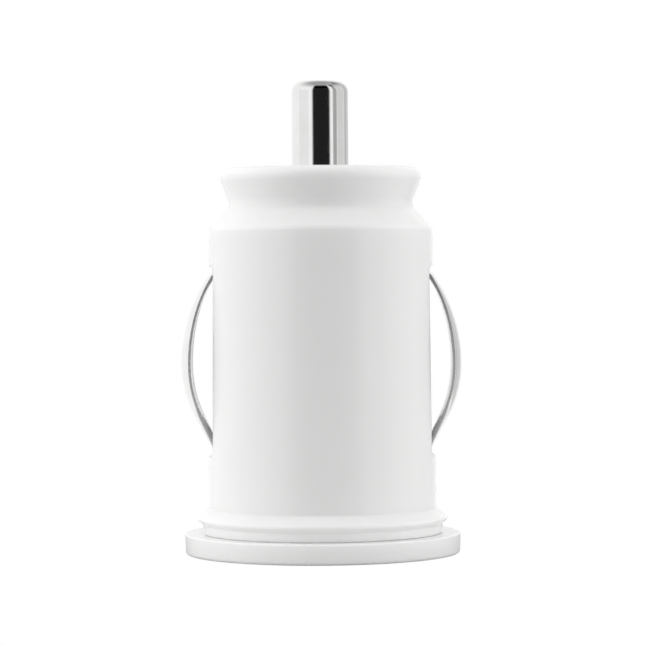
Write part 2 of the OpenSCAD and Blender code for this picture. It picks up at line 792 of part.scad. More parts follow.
module inductor_winding() {
    color([0.72, 0.4, 0.2]) at_board_front(drum_x, drum_z)
        translate([0, 0, solder + drum_flange_t + snug])
            ring(drum_d * 0.45, drum_core_r + snug, drum_h - 2 * (drum_flange_t + snug));
}

// Aluminium can with its crimped neck; the lower end is open for the bung
module input_capacitor() {
    can_r = can_d / 2;
    skin = 0.25;
    color([0.16, 0.2, 0.32]) translate([can_x, can_y, can_lo_z])
        rotate_extrude()
            polygon([
                [can_r - skin, 0], [can_r, 0], [can_r, 1], [can_r - 0.2, 1.3], [can_r - 0.2, 1.5],
                [can_r, 1.8], [can_r, can_h - 0.3], [can_r - 0.3, can_h], [0, can_h],
                [0, 1.8], [can_r - 0.6, 1.8], [can_r - 0.6, 1], [can_r - skin, 1]
            ]);
}

module input_capacitor_bung() {
    color([0.1, 0.1, 0.1]) translate([can_x, can_y, can_lo_z + 0.1])
        difference() {
            cylinder(d = can_d - 0.6, h = 0.85);
            for (x = [-1, 1])
                translate([x, 0, -eps]) cylinder(r = can_lead_r + snug, h = 1);
        }
}

module input_capacitor_leads() {
    color(nickel) for (x = can_lead_x) {
        translate([x, can_y, can_lead_z]) cylinder(r = can_lead_r, h = can_lo_z + 0.9 - can_lead_z);
        translate([x, can_y, can_lead_z]) sphere(r = can_lead_r, $fn = 32);
        translate([x, can_y, can_lead_z]) rotate([-90, 0, 0])
            cylinder(r = can_lead_r, h = back_y + 0.5 - can_y);
    }
}

module output_capacitor() {
    color([0.85, 0.62, 0.2]) at_board_back(output_x, output_z) chip_body(output_size);
}

module rectifier_diode() {
    color([0.14, 0.14, 0.15]) at_board_back(output_x, diode_z)
        translate([0, 0, 0.1]) chip_body(diode_size);
}

module rectifier_diode_tabs() {
    tab_w = diode_size.x * 0.6;
    color(nickel) at_board_back(output_x, diode_z)
        for (side = [0, 1]) mirror([0, side, 0]) translate([-tab_w / 2, 0, solder]) {
            translate([0, diode_size.y / 2 + 0.02, 0]) cube([tab_w, diode_tab_t, diode_size.z * 0.6]);
            translate([0, diode_size.y / 2 - 0.8, 0]) cube([tab_w, 1, 0.08]);
        }
}

module input_fuse() {
    color([0.2, 0.42, 0.25]) at_board_back(-output_x, fuse_z) chip_body(fuse_size);
}

// Round LED with its flat-bottomed rim; its dome looks out through the cap
module indicator_led() {
    led_r = led_d / 2;
    dome_z = 0.25;
    color([0.85, 0.2, 0.2]) translate([0, led_y, 0]) {
        intersection() {
            translate([0, 0, dome_z + led_r]) sphere(r = led_r);
            cylinder(r = led_r, h = dome_z + led_r);
        }
        translate([0, 0, dome_z + led_r]) cylinder(r = led_r, h = led_hi_z - dome_z - led_r);
        translate([0, 0, led_hi_z - led_rim_h]) cylinder(r = led_r + led_rim, h = led_rim_h);
    }
}

module indicator_led_leads() {
    lead_r = 0.22;
    pad_y = back_y + lead_r + solder;
    color(nickel) for (x = led_lead_x) {
        translate([x, led_y, led_hi_z + 0.01]) cylinder(r = lead_r, h = led_bend_z - led_hi_z);
        translate([x, led_y, led_bend_z]) sphere(r = lead_r, $fn = 32);
        translate([x, pad_y, led_bend_z]) rotate([-90, 0, 0]) cylinder(r = lead_r, h = led_y - pad_y);
        translate([x, pad_y, led_bend_z]) sphere(r = lead_r, $fn = 32);
        translate([x, pad_y, led_bend_z]) cylinder(r = lead_r, h = led_foot_z - led_bend_z);
    }
}

module chip_resistor(i) {
    color([0.13, 0.13, 0.14]) at_board_back(resistor_x[i], resistor_z) chip_body(resistor_size);
}

module timing_capacitor() {
    color([0.72, 0.6, 0.42]) at_board_front(drum_x, small_z) chip_body(small_size);
}

housing();
end_cap();
tip_pin();
tip_spring();
spring_seat();
left_contact();
right_contact();
circuit_board();
usb_shell();
usb_insulator();
for (i = [0:3])
    usb_contact(i);
converter_chip();
converter_chip_leads();
inductor_core();
inductor_winding();
input_capacitor();
input_capacitor_bung();
input_capacitor_leads();
output_capacitor();
rectifier_diode();
rectifier_diode_tabs();
input_fuse();
indicator_led();
indicator_led_leads();
for (i = [0:3])
    chip_resistor(i);
timing_capacitor();
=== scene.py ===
"""A short white plug for a 12 V car socket, with sprung contacts and a USB port in its foot."""

import math

import bmesh
import bpy
from mathutils import Euler, Matrix, Vector


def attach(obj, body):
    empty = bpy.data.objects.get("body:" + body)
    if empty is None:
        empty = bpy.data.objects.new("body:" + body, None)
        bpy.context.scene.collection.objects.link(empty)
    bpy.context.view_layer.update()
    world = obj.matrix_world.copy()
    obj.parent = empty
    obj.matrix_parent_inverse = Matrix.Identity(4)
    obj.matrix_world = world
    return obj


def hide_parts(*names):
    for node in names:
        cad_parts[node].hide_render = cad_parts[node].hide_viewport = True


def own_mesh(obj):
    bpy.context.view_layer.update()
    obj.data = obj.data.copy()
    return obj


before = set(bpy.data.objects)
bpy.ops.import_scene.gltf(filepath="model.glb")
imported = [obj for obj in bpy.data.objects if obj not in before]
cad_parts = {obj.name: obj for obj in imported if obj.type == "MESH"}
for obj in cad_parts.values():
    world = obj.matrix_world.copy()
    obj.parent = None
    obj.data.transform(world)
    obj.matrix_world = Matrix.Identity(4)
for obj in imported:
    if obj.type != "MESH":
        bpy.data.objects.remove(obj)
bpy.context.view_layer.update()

# Sizes in millimetres, as in the part's source
DISC_T, DISC_R = 1.85, 12.5
SLEEVE_H, SLEEVE_WALL, SNAP_H, SNAP_OUT = 3.9, 1.0, 0.7, 0.2
COLLAR_R, SHOULDER_R, BORE_R, BORE_TOP_R = 10.3, 10.12, 9.2, 9.02
SKIRT_R, BEAD_R = 10.87, 11.33
NECK_R, NECK_BORE_R, LIP_R = 8.38, 7.28, 9.1
BEAD_LO, BEAD_HI, WINDOW_LO, WINDOW_HI = 2.67, 4.17, 8.82, 26.02
SHOULDER_Z, NECK_LO, NECK_HI, LIP_LO, TOP_Z, END_WALL_Z = 29.52, 31.32, 31.97, 33.92, 34.96, 33.06
WINDOW_W, WINDOW_R = 5.9, 0.8
PIN_R, PIN_TOP, PIN_HOLE_R, PIN_HOLE_Z = 2.58, 42.81, 2.0, 37.71
FLANGE_R, FLANGE_LO, FLANGE_HI = 3.4, 32.21, 33.01
GUIDE_R, GUIDE_LO, SEAT_Z = 3.5, 29.11, 28.61
COIL_R, WIRE_D, COIL_TURNS = 1.8, 0.4, 8
BOW_REACH, BOW_PEAK_Z, STRIP_T, STRIP_W, STRIP_END_W, ARCH_R = 12.73, 17.162, 0.2, 5.2, 3.0, 5.2
BOW_LO, BOW_HI = WINDOW_LO + 0.75, WINDOW_HI - 0.65
HOOK_R, HOOK_TOP_R, HOOK_LO, HOOK_HI, LUG_X = 9.55, 9.37, 6.32, 28.02, 5.75
POCKET_R, POCKET_HALF_W, RAIL_LO, RAIL_HI = 8.2, 1.8, 8.8, 27.76
PORT_HALF_W, PORT_HALF_H, PORT_STEP = 6.65, 2.96, 0.3
LED_Y, LED_R, LED_RIM_R, LED_HI, LED_LEAD_X = 5.88, 1.5, 1.72, 5.0, 1.26
BOARD_FRONT, BOARD_BACK, SOLDER = 2.88, 4.08, 0.03
CAN_X, CAN_Y, CAN_R, CAN_LO, CAN_H, CAN_LEAD_R = -3.8, 0.35, 2.5, 15.6, 8.01, 0.25
DRUM_X, DRUM_Z, DRUM_R, DRUM_H, DRUM_RIM, DRUM_CORE_R = 3.2, 19.2, 3.0, 4.3, 0.8, 1.35
CHIP_X, CHIP_Z, CHIP_PAD_X, CHIP_PITCH = -2.6, 18.0, 2.85, 1.27
OUTPUT_X, FUSE_Z, TIMING_X, TIMING_Z, LEG_Z = 3.45, 25.66, 3.2, 23.6, 13.0
RESISTOR_X, RESISTOR_Z = (-4.416, -1.656, 1.656, 4.416), 10.4

# The photo's width and the focal length that gives its view, both in pixels
PHOTO_WIDTH, FOCAL_LENGTH = 646, 3068
# Where the camera stands, in metres, and how far it looks down and leans, in degrees
CAMERA_PLACE, CAMERA_TILT, CAMERA_LEAN = (0.00014, -0.2784, 0.02674), 1.21, -0.4
# Radii of the floor's open middle, of a ring in it and of its rim, and its height, in metres
FLOOR_RADII, FLOOR_Z = (0.0122, 0.025, 0.04), -0.00003


# Shapes

def rounded_line(points, closed):
    """A chain through (r, z, fillet) points in the XZ plane, with its corners rounded."""
    bm = bmesh.new()
    corners = [bm.verts.new((r, 0, z)) for r, z, _ in points]
    for a, b in zip(corners, corners[1:] + corners[:1] if closed else corners[1:]):
        bm.edges.new((a, b))
    fillets = []
    for i, (corner, (_, _, fillet)) in enumerate(zip(corners, points)):
        if fillet:
            before = corners[i - 1].co - corner.co
            after = corners[(i + 1) % len(corners)].co - corner.co
            half = before.angle(after) / 2
            turn = math.degrees(math.pi - 2 * half)
            fillets.append((corner, fillet / math.tan(half), max(2, round(turn / 7))))
    for corner, reach, segments in fillets:
        bmesh.ops.bevel(bm, geom=[corner], offset=reach, offset_type="OFFSET", segments=segments,
                        profile=0.5, affect="VERTICES", material=-1)
    return bm


def turned(points, closed=False, steps=180):
    """A shape turned about Z from its outline. Its open ends are closed by flats."""
    bm = rounded_line(points, closed)
    bmesh.ops.spin(bm, geom=bm.verts[:] + bm.edges[:], cent=(0, 0, 0), axis=(0, 0, 1),
                   dvec=(0, 0, 0), angle=2 * math.pi, steps=steps, use_merge=True)
    bmesh.ops.remove_doubles(bm, verts=bm.verts, dist=1e-4)
    bmesh.ops.holes_fill(bm, edges=[e for e in bm.edges if e.is_boundary], sides=0)
    bmesh.ops.recalc_face_normals(bm, faces=bm.faces)
    return bm


def ease(bm, edges, width, segments=2):
    bmesh.ops.bevel(bm, geom=list(edges), offset=width, offset_type="OFFSET", segments=segments,
                    profile=0.5, affect="EDGES", clamp_overlap=True, material=-1)


def sharp_edges(bm, angle=40, where=lambda p: True):
    limit = math.radians(angle)
    return [e for e in bm.edges if e.is_manifold and e.calc_face_angle(0) > limit
            and where((e.verts[0].co + e.verts[1].co) / 2)]


def block(low, high, corner=0, edge=0, along="Z"):
    """A box between two corners, its edges along one axis rounded, then its rims eased."""
    bm = bmesh.new()
    low, high = Vector(low), Vector(high)
    bmesh.ops.create_cube(bm, size=1, matrix=Matrix.Translation((low + high) / 2)
                          @ Matrix.Diagonal((*(high - low), 1)))
    axis = "XYZ".index(along)
    if corner:
        ease(bm, [e for e in bm.edges if abs(e.verts[0].co[axis] - e.verts[1].co[axis]) > 1e-6],
             corner, segments=8)
    if edge:
        ease(bm, sharp_edges(bm), edge)
    return bm


def joined(*shapes):
    """Several shapes as one mesh."""
    bm = bmesh.new()
    for shape in shapes:
        mesh = bpy.data.meshes.new("shape")
        shape.to_mesh(mesh)
        bm.from_mesh(mesh)
        bpy.data.meshes.remove(mesh)
        shape.free()
    return bm


def moved(bm, matrix):
    bmesh.ops.transform(bm, matrix=matrix, verts=bm.verts)
    return bm


def flipped(bm):
    """A shape turned into its own mirror image over the YZ plane."""
    bmesh.ops.scale(bm, vec=(-1, 1, 1), verts=bm.verts)
    bmesh.ops.reverse_faces(bm, faces=bm.faces)
    return bm


def mirrored(shape):
    """A shape and its mirror image over the YZ plane."""
    return joined(shape, flipped(shape.copy()))


def placed(name, bm):
    """An object in the scene made of a shape, which is used up."""
    mesh = bpy.data.meshes.new(name)
    bm.to_mesh(mesh)
    bm.free()
    obj = bpy.data.objects.new(name, mesh)
    bpy.context.scene.collection.objects.link(obj)
    return obj


def carved(bm, tool):
    """A closed shape with another cut from it."""
    work, knife = placed("work", bm), placed("knife", tool)
    step = work.modifiers.new("carve", "BOOLEAN")
    step.object, step.operation, step.solver = knife, "DIFFERENCE", "EXACT"
    made = work.evaluated_get(bpy.context.evaluated_depsgraph_get()).to_mesh()
    result = bmesh.new()
    result.from_mesh(made)
    for obj in (work, knife):
        mesh = obj.data
        bpy.data.objects.remove(obj)
        bpy.data.meshes.remove(mesh)
    bmesh.ops.remove_doubles(result, verts=result.verts, dist=1e-4)
    return result


def from_cad(node, edge):
    """A CAD node's shape in millimetres, its flats joined and its sharp edges eased."""
    bm = bmesh.new()
    bm.from_mesh(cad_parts[node].data)
    bmesh.ops.scale(bm, vec=(1000, 1000, 1000), verts=bm.verts)
    bmesh.ops.remove_doubles(bm, verts=bm.verts, dist=1e-3)
    bmesh.ops.dissolve_limit(bm, angle_limit=math.radians(1), verts=bm.verts, edges=bm.edges)
    ease(bm, sharp_edges(bm), edge)
    return bm


def piece(name, bm, finish, body, slot, *nodes, angle=35):
    """Puts a finished shape into the scene, on its body and in place of its CAD nodes."""
    bmesh.ops.scale(bm, vec=(0.001, 0.001, 0.001), verts=bm.verts)
    obj = placed(name, bm)
    obj.data.shade_smooth()
    obj.data.set_sharp_from_angle(angle=math.radians(angle))
    obj.data.materials.append(finish.material)
    obj.modifiers.new("even_shading", "WEIGHTED_NORMAL").keep_sharp = True
    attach(obj, body)
    if nodes:
        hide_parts(*nodes)
    return obj


# Finishes

class Value:
    """A number that changes over a surface and takes part in plain arithmetic."""

    def __init__(self, finish, socket):
        self.finish, self.socket = finish, socket

    def __add__(self, other):
        return self.finish.maths("ADD", self, other)

    def __sub__(self, other):
        return self.finish.maths("SUBTRACT", self, other)

    def __rsub__(self, other):
        return self.finish.maths("SUBTRACT", other, self)

    def __mul__(self, other):
        return self.finish.maths("MULTIPLY", self, other)

    def __truediv__(self, other):
        return self.finish.maths("DIVIDE", self, other)

    def __rtruediv__(self, other):
        return self.finish.maths("DIVIDE", other, self)

    def __neg__(self):
        return self.finish.maths("MULTIPLY", self, -1)

    def __abs__(self):
        return self.finish.maths("ABSOLUTE", self)

    def __gt__(self, other):
        return self.finish.maths("GREATER_THAN", self, other)

    def __lt__(self, other):
        return self.finish.maths("LESS_THAN", self, other)

    __radd__ = __add__
    __rmul__ = __mul__


class Finish:
    """A procedural material, or a world's shader when its owner is given.

    What is the same all over is set on the shader's own sockets. x, y and z are millimetres.
    """

    def __init__(self, name, owner=None, **constants):
        if owner is None:
            self.material = owner = bpy.data.materials.new(name)
            owner.use_nodes = True
        self.tree = owner.node_tree
        self.shader = self.tree.nodes.get("Principled BSDF")
        for socket, value in constants.items():
            self.shader.inputs[socket.replace("_", " ")].default_value = value
        self.place = self.node("ShaderNodeTexCoord", output="Object")
        self.x, self.y, self.z = (self.part_of(self.place, axis) * 1000 for axis in "XYZ")

    def node(self, kind, settings=None, inputs=None, output=0):
        """Adds a node. Its settings come first, then its sockets' values or links."""
        node = self.tree.nodes.new(kind)
        for name, value in (settings or {}).items():
            setattr(node, name, value)
        for name, value in (inputs or {}).items():
            if isinstance(value, Value):
                self.tree.links.new(value.socket, node.inputs[name])
            else:
                node.inputs[name].default_value = value
        return Value(self, node.outputs[output])

    def maths(self, operation, *values):
        return self.node("ShaderNodeMath", {"operation": operation}, dict(enumerate(values)))

    def part_of(self, vector, axis):
        return self.node("ShaderNodeSeparateXYZ", {}, {0: vector}, axis)

    def step(self, value, low, high):
        """Runs smoothly from 0 below low to 1 above high."""
        return self.node("ShaderNodeMapRange", {"interpolation_type": "SMOOTHSTEP"},
                         {0: value, 1: low, 2: high})

    def band(self, value, low, high, soft):
        """1 between low and high, falling to 0 over the soft distance outside."""
        return self.step(value, low - soft, low) * (1 - self.step(value, high, high + soft))

    def grain(self, size, detail=2.0, stretch=(1, 1, 1)):
        """Smooth noise whose grains are about this many millimetres across."""
        scale = [1000 * s / size for s in stretch]
        place = self.node("ShaderNodeMapping", {}, {"Vector": self.place, "Scale": scale})
        return self.node("ShaderNodeTexNoise", {}, {"Vector": place, "Scale": 1, "Detail": detail})

    def mix(self, factor, a, b):
        """Colour a where the factor is 0 and b where it is 1."""
        a, b = (c if isinstance(c, Value) else (*c, 1) for c in (a, b))
        return self.node("ShaderNodeMix", {"data_type": "RGBA"}, {0: factor, 6: a, 7: b}, 2)

    def relief(self, height, depth):
        """Bumps the surface by this many millimetres where the height is 1."""
        normal = self.node("ShaderNodeBump", {}, {"Distance": depth / 1000, "Height": height})
        self.feed("Normal", normal)

    def feed(self, socket, value):
        self.tree.links.new(value.socket, self.shader.inputs[socket])


def moulded_plastic(name, colour, shade, roughness, **constants):
    """Smooth moulded plastic: faint flow marks in its colour, an even fine grain in its gloss."""
    finish = Finish(name, **constants)
    flow = finish.grain(9, 3, (1, 1, 0.35))
    finish.feed("Base Color", finish.mix(flow, colour, shade))
    finish.feed("Roughness", roughness + 0.07 * finish.grain(0.6, 3) + 0.05 * flow)
    finish.relief(finish.grain(0.22, 2) + 2 * finish.grain(1.6, 2), 0.0012)
    return finish


def plated_metal(name, colour, shade, roughness, lines, depth=0.0006, **constants):
    """Bright plating with fine lines along or round it and faint stains."""
    finish = Finish(name, Metallic=1.0, **constants)
    stain = finish.grain(2.4, 4)
    draw = finish.grain(0.12, 3, lines)
    finish.feed("Base Color", finish.mix(finish.step(stain, 0.35, 0.75), colour, shade))
    finish.feed("Roughness", roughness + 0.06 * draw + 0.08 * finish.step(stain, 0.5, 0.8))
    finish.relief(draw + 1.5 * finish.grain(0.9, 2), depth)
    return finish


# How fine plating lines are along X, Y and Z: drawn out round the plug, or up it
LINES_ROUND, LINES_UP = (0.1, 0.1, 1), (1, 1, 0.05)

white_plastic = moulded_plastic("white_plastic", (0.875, 0.875, 0.87), (0.857, 0.857, 0.854), 0.17,
                                Subsurface_Weight=0.8, Subsurface_Scale=0.0008,
                                Subsurface_Radius=(1, 1, 1))
port_plastic = moulded_plastic("port_plastic", (0.8, 0.8, 0.77), (0.74, 0.74, 0.71), 0.32)
nickel_plate = plated_metal("nickel_plate", (0.86, 0.86, 0.86), (0.82, 0.82, 0.81), 0.05,
                            LINES_ROUND)
port_steel = plated_metal("port_steel", (0.76, 0.76, 0.76), (0.69, 0.69, 0.68), 0.2, (1, 1, 0.04))
spring_wire = plated_metal("spring_wire", (0.62, 0.62, 0.64), (0.55, 0.55, 0.56), 0.2, LINES_ROUND)
brass_sheet = plated_metal("brass_sheet", (0.83, 0.62, 0.28), (0.74, 0.53, 0.23), 0.22,
                           LINES_UP)
contact_gold = plated_metal("contact_gold", (0.95, 0.72, 0.33), (0.9, 0.64, 0.27), 0.12,
                            LINES_UP)
tinned_metal = plated_metal("tinned_metal", (0.75, 0.75, 0.76), (0.66, 0.66, 0.67), 0.3,
                            (1, 1, 1), 0.002)
copper_wire = plated_metal("copper_wire", (0.72, 0.32, 0.14), (0.6, 0.25, 0.1), 0.25,
                           (1, 1, 0.2), Coat_Weight=0.6)
black_epoxy = moulded_plastic("black_epoxy", (0.022, 0.022, 0.024), (0.03, 0.03, 0.032), 0.48)
ferrite = moulded_plastic("ferrite", (0.05, 0.05, 0.053), (0.075, 0.074, 0.074), 0.55)
black_rubber = moulded_plastic("black_rubber", (0.018, 0.018, 0.018), (0.03, 0.03, 0.03), 0.7)
fuse_green = moulded_plastic("fuse_green", (0.06, 0.22, 0.09), (0.09, 0.28, 0.12), 0.4)
ceramic_tan = moulded_plastic("ceramic_tan", (0.45, 0.33, 0.19), (0.52, 0.4, 0.25), 0.5)


def stamped_strip():
    """Polished spring strip, duller on its sheared edges than on its faces."""
    finish = plated_metal("nickel_strip", (0.88, 0.88, 0.88), (0.84, 0.84, 0.83), 0.13,
                          (1, 1, 0.03))
    normal = finish.node("ShaderNodeTexCoord", output="Normal")
    sheared = finish.step(abs(finish.part_of(normal, "Y")), 0.5, 0.8)
    finish.feed("Roughness", 0.13 + 0.05 * finish.grain(2.4, 4) + 0.4 * sheared)
    return finish


def printed_sleeve():
    """Dark shrink sleeve with a pale stripe of dashes down its front."""
    finish = moulded_plastic("capacitor_sleeve", (0.03, 0.04, 0.09), (0.04, 0.05, 0.11), 0.25)
    stripe = finish.band(finish.x, CAN_X - 0.65, CAN_X + 0.65, 0.03) * (finish.y < CAN_Y)
    dash = finish.band(finish.maths("FRACT", finish.z / 1.7), 0.42, 0.58, 0.02)
    dash = dash * finish.band(finish.x, CAN_X - 0.35, CAN_X + 0.35, 0.02)
    colour = finish.mix(stripe * (1 - dash), (0.035, 0.045, 0.1), (0.62, 0.64, 0.68))
    finish.feed("Base Color", colour)
    return finish


def banded(name, colour, mark, low, high, roughness):
    """Moulded body with a printed band across it between two heights."""
    finish = moulded_plastic(name, colour, colour, roughness)
    ink = finish.band(finish.z, low, high, 0.03) * (0.9 + 0.1 * finish.grain(0.3, 3))
    finish.feed("Base Color", finish.mix(ink, colour, mark))
    return finish


def printed_board():
    """Green laminate with tracks under its mask, tinned pads, printed outlines and bare edges."""
    finish = Finish("board_laminate")
    x, y, z = finish.x, finish.y, finish.z
    back = y > (BOARD_FRONT + BOARD_BACK) / 2

    def patch(mid_x, mid_z, half_x, half_z, soft=0.04):
        return (finish.band(x, mid_x - half_x, mid_x + half_x, soft)
                * finish.band(z, mid_z - half_z, mid_z + half_z, soft))

    def most(*masks):
        top = masks[0]
        for mask in masks[1:]:
            top = finish.maths("MAXIMUM", top, mask)
        return top

    tracks = most(
        patch(-OUTPUT_X, FUSE_Z, 1.7, 2.35), patch(OUTPUT_X, 22.0, 1.7, 1.5),
        patch(CHIP_X, 21.6, 3.1, 0.7), patch(0.1, 18.6, 0.22, 3.8), patch(-6.1, 16.0, 0.25, 4.4),
        patch(1.0, 14.4, 0.2, 2.0), patch(0.0, 14.9, 5.6, 0.22), patch(OUTPUT_X, 14.2, 1.4, 1.1),
        patch(-3.5, 11.9, 0.2, 1.2), patch(3.5, 11.9, 0.2, 1.2), patch(0, 8.9, 3.4, 0.2))
    lead_rows = finish.band(finish.maths("FRACT", (z - CHIP_Z) / CHIP_PITCH), 0.28, 0.72, 0.02)
    pads = back * most(
        patch(OUTPUT_X, 15.5, 1.3, 0.45), patch(OUTPUT_X, 20.4, 1.3, 0.45),
        patch(OUTPUT_X, 23.5, 1.0, 0.3), patch(OUTPUT_X, 27.8, 1.0, 0.3),
        patch(-OUTPUT_X, 23.4, 1.6, 0.3), patch(-OUTPUT_X, 27.85, 1.6, 0.25),
        *[patch(side * LED_LEAD_X, 8.0, 0.5, 1.0) for side in (-1, 1)],
        *[patch(CHIP_X + side * CHIP_PAD_X, CHIP_Z, 0.42, 2.2) * lead_rows for side in (-1, 1)],
        *[patch(mid, RESISTOR_Z, 1.3, 0.7) for mid in RESISTOR_X])
    frames = most(*[patch(mid_x, mid_z, half_x, half_z, 0.02)
                    * (1 - patch(mid_x, mid_z, half_x - 0.12, half_z - 0.12, 0.02))
                    for mid_x, mid_z, half_x, half_z in (
                        (OUTPUT_X, 18.0, 1.85, 3.1), (-OUTPUT_X, FUSE_Z, 1.95, 2.3),
                        (CHIP_X, CHIP_Z, 2.15, 2.75))])
    edge = most(abs(x) > 6.88, z < 1.97, z > 28.14)
    weave = finish.grain(0.5, 2, (1, 1, 0.3)) * 0.5 + finish.grain(0.5, 2, (0.3, 1, 1)) * 0.5
    colour = finish.mix(tracks, (0.008, 0.1, 0.03), (0.02, 0.19, 0.06))
    colour = finish.mix(weave * 0.35, colour, (0.03, 0.16, 0.07))
    colour = finish.mix(back * frames * (1 - pads), colour, (0.75, 0.77, 0.74))
    colour = finish.mix(pads, colour, (0.72, 0.73, 0.74))
    finish.feed("Base Color", finish.mix(edge, colour, (0.36, 0.37, 0.2)))
    finish.feed("Metallic", pads * (1 - edge))
    finish.feed("Roughness", 0.28 + 0.12 * weave + 0.35 * edge)
    finish.relief(tracks + frames + 0.4 * weave, 0.02)
    return finish


nickel_strip = stamped_strip()
capacitor_sleeve = printed_sleeve()
board_laminate = printed_board()
tantalum = banded("amber_epoxy", (0.75, 0.4, 0.07), (0.22, 0.08, 0.02), 19.2, 19.9, 0.35)
diode_body = banded("black_epoxy_banded", (0.025, 0.025, 0.027), (0.55, 0.55, 0.53), 26.5, 27.0,
                    0.45)
led_lens = moulded_plastic("led_lens", (0.75, 0.05, 0.04), (0.6, 0.03, 0.03), 0.12,
                           Transmission_Weight=0.35)


# Housing and cap

def window_rim(p):
    """Whether a point lies on the outer rim of a side window."""
    return (abs(p.x) > 9.75 and abs(p.y) < WINDOW_W / 2 + 0.15
            and WINDOW_LO - 0.1 < p.z < WINDOW_HI + 0.1)


def make_housing():
    """Barrel with its windows and pockets, the pin's guide tube, and what holds the board."""
    inner_drop = 0.503  # how far the bore's corners lie under the outer ones
    wall = turned([
        (BORE_R, DISC_T + 0.01, 0.15),
        (SKIRT_R, DISC_T + 0.01, 0.1),
        (SKIRT_R, BEAD_LO, 0.1),
        (BEAD_R, BEAD_LO + 0.42, 0.25),
        (BEAD_R, BEAD_LO + 0.63, 0.25),
        (COLLAR_R, BEAD_HI, 0.2),
        (COLLAR_R, WINDOW_LO - 0.4, 0),
        (SHOULDER_R, SHOULDER_Z, 0.7),
        (NECK_R, NECK_LO, 0.6),
        (NECK_R, NECK_HI, 1),
        (LIP_R, LIP_LO, 0.8),
        (LIP_R, TOP_Z, 0.82),
        (PIN_R + 0.26, TOP_Z, 0.05),
        (PIN_R + 0.06, TOP_Z - 0.2, 0),
        (PIN_R + 0.06, END_WALL_Z, 0),
        (NECK_BORE_R, END_WALL_Z, 0.4),
        (NECK_BORE_R, NECK_LO - inner_drop, 0.3),
        (BORE_TOP_R, SHOULDER_Z - inner_drop, 0.3),
        (BORE_R, WINDOW_LO - 0.4, 0),
    ], closed=True)
    window = block((BORE_R - 1, -WINDOW_W / 2, WINDOW_LO), (BORE_R + 2, WINDOW_W / 2, WINDOW_HI),
                   WINDOW_R, along="X")
    wall = carved(wall, mirrored(window))
    pockets = joined(
        block((POCKET_R, -POCKET_HALF_W, HOOK_LO - 0.2),
              (BORE_R + 0.4, POCKET_HALF_W, WINDOW_LO + 0.8)),
        block((POCKET_R, -POCKET_HALF_W, WINDOW_HI - 0.8),
              (BORE_TOP_R + 0.4, POCKET_HALF_W, HOOK_HI + 0.2)))
    wall = carved(wall, mirrored(pockets))
    ease(wall, sharp_edges(wall, 50, window_rim), 0.1)
    piece("barrel", wall, white_plastic, "plug", "white_plastic", "housing", angle=32)
    tube = turned([(GUIDE_R, GUIDE_LO, 0.1), (GUIDE_R + 1, GUIDE_LO, 0.15),
                   (GUIDE_R + 1, END_WALL_Z + 0.1, 0), (GUIDE_R, END_WALL_Z + 0.1, 0)],
                  closed=True, steps=96)
    piece("guide_tube", tube, white_plastic, "plug", "white_plastic")
    rails = mirrored(joined(
        block((6.0, 4.13, RAIL_LO), (6.9, 7.2, RAIL_HI), edge=0.12),
        block((7.0, 3.05, RAIL_LO), (7.9, 5.2, RAIL_HI), edge=0.12)))
    piece("board_rails", rails, white_plastic, "plug", "white_plastic")
    fingers = mirrored(block((2.7, 2.03, 27.31), (3.4, 2.83, 29.1), edge=0.1))
    piece("board_fingers", fingers, white_plastic, "plug", "white_plastic")


def make_cap():
    """Disc with its sleeve and snap ridge, open for the port and the round indicator."""
    sleeve_r = BORE_R - 0.05
    ridge_z = DISC_T + SLEEVE_H * 0.55
    blank = turned([
        (8.9, 0, 0),
        (DISC_R - 0.05, 0, 0.28),
        (DISC_R, DISC_T, 0.12),
        (sleeve_r, DISC_T, 0),
        (sleeve_r, ridge_z - SNAP_H / 2, 0),
        (sleeve_r + SNAP_OUT, ridge_z - SNAP_H / 4, 0),
        (sleeve_r + SNAP_OUT, ridge_z + SNAP_H / 4, 0),
        (sleeve_r, ridge_z + SNAP_H / 2, 0),
        (sleeve_r, DISC_T + SLEEVE_H - 0.3, 0),
        (sleeve_r - 0.3, DISC_T + SLEEVE_H, 0),
        (sleeve_r - SLEEVE_WALL, DISC_T + SLEEVE_H, 0),
        (sleeve_r - SLEEVE_WALL, DISC_T, 0),
    ])
    led_hole = turned([(LED_R + 0.1, -1, 0), (LED_R + 0.1, 7, 0)], steps=64)
    room = joined(
        block((-PORT_HALF_W, -PORT_HALF_H, -1), (PORT_HALF_W, PORT_HALF_H, 7), corner=0.7),
        moved(led_hole, Matrix.Translation((0, LED_Y, 0))))
    step_x, step_y = PORT_HALF_W + PORT_STEP, PORT_HALF_H + PORT_STEP
    step = block((-step_x, -step_y, -1), (step_x, step_y, PORT_STEP), corner=0.9)
    blank = carved(carved(blank, step), room)
    ease(blank, sharp_edges(blank, 50, lambda p: p.z < 0.01 and abs(p.x) < 8), 0.08)
    piece("foot_disc", blank, white_plastic, "plug", "white_plastic", "end_cap", angle=32)


# Contacts

def make_pin():
    """Plated centre contact, bored from below for its coil, with a flange at its foot."""
    pin = turned([
        (PIN_HOLE_R - 0.4, PIN_HOLE_Z, 0),
        (PIN_HOLE_R, PIN_HOLE_Z - 0.3, 0.2),
        (PIN_HOLE_R, FLANGE_LO, 0.05),
        (FLANGE_R, FLANGE_LO, 0.1),
        (FLANGE_R, FLANGE_HI, 0.1),
        (PIN_R, FLANGE_HI, 0.05),
        (PIN_R, PIN_TOP - 0.02, 1.05),
        (0.8, PIN_TOP, 0),
    ])
    piece("centre_pin", pin, nickel_plate, "centre_contact", "nickel_plate", "tip_pin")


